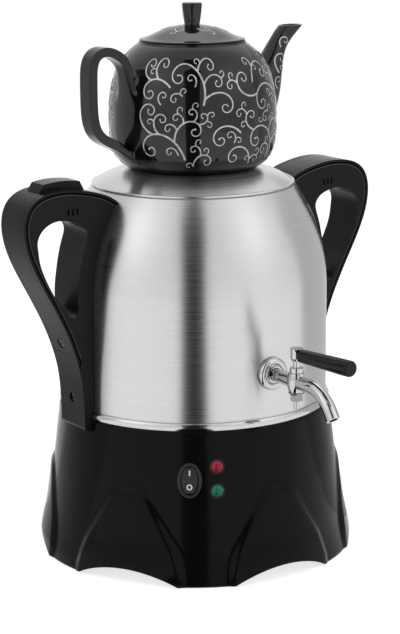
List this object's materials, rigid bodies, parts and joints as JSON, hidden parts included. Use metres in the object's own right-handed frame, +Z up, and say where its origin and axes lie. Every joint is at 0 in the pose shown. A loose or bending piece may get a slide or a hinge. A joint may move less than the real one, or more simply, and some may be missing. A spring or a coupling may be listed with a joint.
{
  "type": "samovar",
  "caption": "Electric samovar: steel water tank on a flared black base, two loop handles, front tap, and a patterned ceramic teapot on its lid.",
  "frame": {"origin": "centre of the circle of feet, on the surface it stands on", "axes": "+Z up along the tank's axis, -Y the way the tap points, -X towards the handle with the thumb button"},
  "size_m": [0.3138, 0.3164, 0.4174],
  "materials": {
    "brushed_steel": "brushed",
    "polished_steel": "polished",
    "chrome": "bright plated",
    "gloss_black": "glossy moulded",
    "handle_black": "semi-gloss moulded",
    "glazed_ceramic": "glazed",
    "grip_black": "satin",
    "switch_black": "satin",
    "red_lens": "clear tinted",
    "green_lens": "clear tinted",
    "inner_plastic": "moulded",
    "rubber": "matt",
    "silicone": "matt",
    "zinc_steel": "zinc plated",
    "aluminium": "cast",
    "element_steel": "annealed",
    "control_metal": "pressed",
    "brass": "plated",
    "lamp_glass": "clear"
  },
  "bodies": {
    "root": {"tank_shell": "brushed_steel", "tank_floor": "brushed_steel", "trim_ring": "polished_steel", "tap_body": "chrome", "tap_flange": "chrome", "tap_lock_nut": "chrome", "base_shell": "gloss_black", "left_handle": "handle_black", "right_handle": "handle_black", "left_handle_cover": "handle_black", "right_handle_cover": "handle_black", "switch_body": "switch_black", "red_lens": "red_lens", "green_lens": "green_lens", "base_cover": "inner_plastic", "lamp_bezels": "inner_plastic", "mains_inlet": "inner_plastic", "micro_switch": "inner_plastic", "terminal_block": "inner_plastic", "foot_pads": "rubber", "tap_gasket": "silicone", "base_screws": "zinc_steel", "handle_screws": "zinc_steel", "cover_screws": "zinc_steel", "tank_studs": "zinc_steel", "tank_nuts": "zinc_steel", "handle_bosses": "zinc_steel", "heating_plate": "aluminium", "heating_element": "element_steel", "boil_thermostat": "control_metal", "warm_thermostat": "control_metal", "thermal_cutout": "control_metal", "inlet_pins": "brass", "switch_tabs": "brass", "lamp_bulbs": "lamp_glass"},
    "tank_lid": {"tank_lid": "brushed_steel", "lid_seal": "silicone"},
    "teapot": {"teapot": "glazed_ceramic"},
    "teapot_lid": {"teapot_lid": "glazed_ceramic"},
    "tap_plug": {"tap_plug": "chrome", "lever_pin": "chrome", "lever_grip": "grip_black", "tap_spring": "chrome", "tap_nut": "chrome"},
    "switch_rocker": {"switch_rocker": "switch_black"},
    "thumb_button": {"thumb_button": "handle_black", "switch_plunger": "inner_plastic"}
  },
  "joints": [
    {"name": "lid_lift", "type": "slide", "parent": "root", "child": "tank_lid", "axis": [0, 0, 1], "range_m": [0, 0.12]},
    {"name": "teapot_lift", "type": "slide", "parent": "tank_lid", "child": "teapot", "axis": [0, 0, 1], "range_m": [0, 0.12]},
    {"name": "teapot_lid_lift", "type": "slide", "parent": "teapot", "child": "teapot_lid", "axis": [0, 0, 1], "range_m": [0, 0.1]},
    {"name": "tap_turn", "type": "hinge", "parent": "root", "child": "tap_plug", "pos_m": [0, -0.132, 0.1538], "axis": [0, 0, 1], "range_deg": [0, 90]},
    {"name": "switch_rock", "type": "hinge", "parent": "root", "child": "switch_rocker", "pos_m": [-0.06381, -0.08783, 0.0796], "axis": [0.809, -0.5878, 0], "range_deg": [0, 14]},
    {"name": "button_press", "type": "slide", "parent": "root", "child": "thumb_button", "axis": [0, 0, -1], "range_m": [0, 0.0015], "stiffness_N_per_m": 600, "springref_m": -0.0005}
  ]
}
